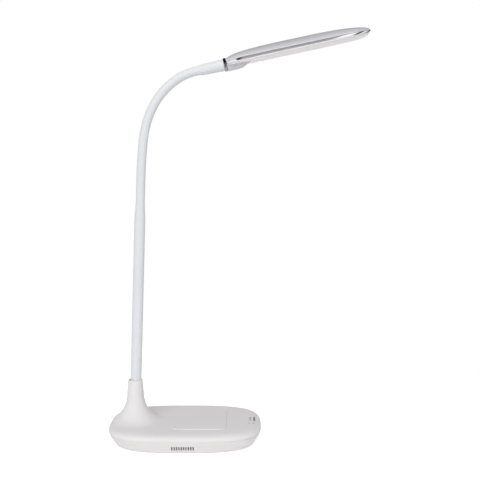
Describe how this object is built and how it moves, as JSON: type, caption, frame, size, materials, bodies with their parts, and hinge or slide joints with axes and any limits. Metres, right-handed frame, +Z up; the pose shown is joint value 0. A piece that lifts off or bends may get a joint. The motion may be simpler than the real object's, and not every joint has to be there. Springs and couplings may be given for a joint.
{
  "type": "desk lamp",
  "caption": "Desk lamp with a weighted base with a low raised rest on its top, a flexible neck on a slim stem, and a slim light head with a bright trim.",
  "frame": {"origin": "on the table, under the middle of the base, at the face of the non-slip pad", "axes": "+X from the neck to the front of the base and out to the head, +Z up"},
  "size_m": [0.2861, 0.124, 0.4535],
  "materials": {
    "cover_white": "satin white moulded plastic",
    "pad_grey": "matt foam rubber",
    "ballast_steel": "zinc plated sheet steel",
    "screw_steel": "bright zinc",
    "board_green": "solder-masked glass laminate",
    "chip_black": "moulded chips and connectors",
    "spring_brass": "plated spring",
    "mark_grey": "printed grey",
    "inlet_black": "black moulded plastic",
    "lead_black": "PVC covered lead",
    "brass": "turned brass",
    "tube_steel": "drawn steel tube",
    "sleeve_white": "satin white silicone",
    "core_steel": "steel gooseneck coil",
    "chrome": "bright chrome plate",
    "shell_silver": "pale silver-white gloss lacquer",
    "diffuser_white": "opal acrylic",
    "housing_white": "pale grey-white moulded plastic",
    "reflector_white": "white reflector plastic",
    "led_yellow": "phosphor chips",
    "aluminium": "plain aluminium sheet"
  },
  "bodies": {
    "base": {"base_cover": "cover_white", "base_bottom": "cover_white", "non_slip_pad": "pad_grey", "ballast_plate": "ballast_steel", "plate_screws": "screw_steel", "case_screws": "screw_steel", "control_board": "board_green", "driver_parts": "chip_black", "touch_springs": "spring_brass", "touch_marks": "mark_grey", "board_screws": "screw_steel", "dc_jack": "inlet_black", "jack_lead": "lead_black", "neck_nuts": "brass", "neck_washers": "screw_steel", "stem_tube": "tube_steel", "stem_sleeve": "sleeve_white", "lower_ferrule": "brass", "stem_lead": "lead_black"},
    "neck_link_1": {"neck_core_1": "core_steel", "neck_sleeve_1": "sleeve_white", "neck_lead_1": "lead_black"},
    "neck_link_2": {"neck_core_2": "core_steel", "neck_sleeve_2": "sleeve_white", "neck_lead_2": "lead_black"},
    "neck_link_3": {"neck_core_3": "core_steel", "neck_sleeve_3": "sleeve_white", "neck_lead_3": "lead_black"},
    "neck_link_4": {"neck_core_4": "core_steel", "neck_sleeve_4": "sleeve_white", "neck_lead_4": "lead_black"},
    "neck_link_5": {"neck_core_5": "core_steel", "neck_sleeve_5": "sleeve_white", "neck_lead_5": "lead_black"},
    "neck_link_6": {"neck_core_6": "core_steel", "neck_sleeve_6": "sleeve_white", "neck_lead_6": "lead_black"},
    "neck_link_7": {"neck_core_7": "core_steel", "neck_sleeve_7": "sleeve_white", "neck_lead_7": "lead_black"},
    "neck_link_8": {"neck_core_8": "core_steel", "neck_sleeve_8": "sleeve_white", "neck_lead_8": "lead_black"},
    "head": {"upper_ferrule": "brass", "end_sleeve": "sleeve_white", "chrome_ring": "chrome", "socket_housing": "housing_white", "ferrule_nut": "brass", "head_shell": "shell_silver", "trim_frame": "chrome", "diffuser": "diffuser_white", "reflector": "reflector_white", "led_board": "aluminium", "leds": "led_yellow", "heat_plate": "aluminium", "head_screws": "screw_steel", "head_lead": "lead_black"}
  },
  "joints": [
    {"name": "bend_1_fore_aft", "type": "hinge", "parent": "base", "child": "neck_link_1", "pos_m": [-0.04861, 0, 0.26634], "axis": [0, 1, 0], "range_deg": [-30, 15], "deforming": ["neck_sleeve_1", "neck_lead_1"]},
    {"name": "bend_2_sideways", "type": "hinge", "parent": "neck_link_1", "child": "neck_link_2", "pos_m": [-0.04788, 0, 0.28732], "axis": [0.9994, 0, -0.0349], "range_deg": [-25, 25], "deforming": ["neck_sleeve_2", "neck_lead_2"]},
    {"name": "bend_3_fore_aft", "type": "hinge", "parent": "neck_link_2", "child": "neck_link_3", "pos_m": [-0.04687, 0, 0.3083], "axis": [0, 1, 0], "range_deg": [-30, 15], "deforming": ["neck_sleeve_3", "neck_lead_3"]},
    {"name": "bend_4_sideways", "type": "hinge", "parent": "neck_link_3", "child": "neck_link_4", "pos_m": [-0.04513, 0, 0.32923], "axis": [0.9945, 0, -0.1045], "range_deg": [-25, 25], "deforming": ["neck_sleeve_4", "neck_lead_4"]},
    {"name": "bend_5_fore_aft", "type": "hinge", "parent": "neck_link_4", "child": "neck_link_5", "pos_m": [-0.04149, 0, 0.34989], "axis": [0, 1, 0], "range_deg": [-30, 15], "deforming": ["neck_sleeve_5", "neck_lead_5"]},
    {"name": "bend_6_sideways", "type": "hinge", "parent": "neck_link_5", "child": "neck_link_6", "pos_m": [-0.03398, 0, 0.36945], "axis": [0.8829, 0, -0.4695], "range_deg": [-25, 25], "deforming": ["neck_sleeve_6", "neck_lead_6"]},
    {"name": "bend_7_fore_aft", "type": "hinge", "parent": "neck_link_6", "child": "neck_link_7", "pos_m": [-0.02196, 0, 0.38661], "axis": [0, 1, 0], "range_deg": [-30, 15], "deforming": ["neck_sleeve_7", "neck_lead_7"]},
    {"name": "bend_8_sideways", "type": "hinge", "parent": "neck_link_7", "child": "neck_link_8", "pos_m": [-0.00593, 0, 0.40006], "axis": [0.5299, 0, -0.848], "range_deg": [-25, 25], "deforming": ["neck_sleeve_8", "neck_lead_8"]},
    {"name": "bend_9_fore_aft", "type": "hinge", "parent": "neck_link_8", "child": "head", "pos_m": [0.01344, 0, 0.40789], "axis": [0, 1, 0], "range_deg": [-30, 15]}
  ]
}
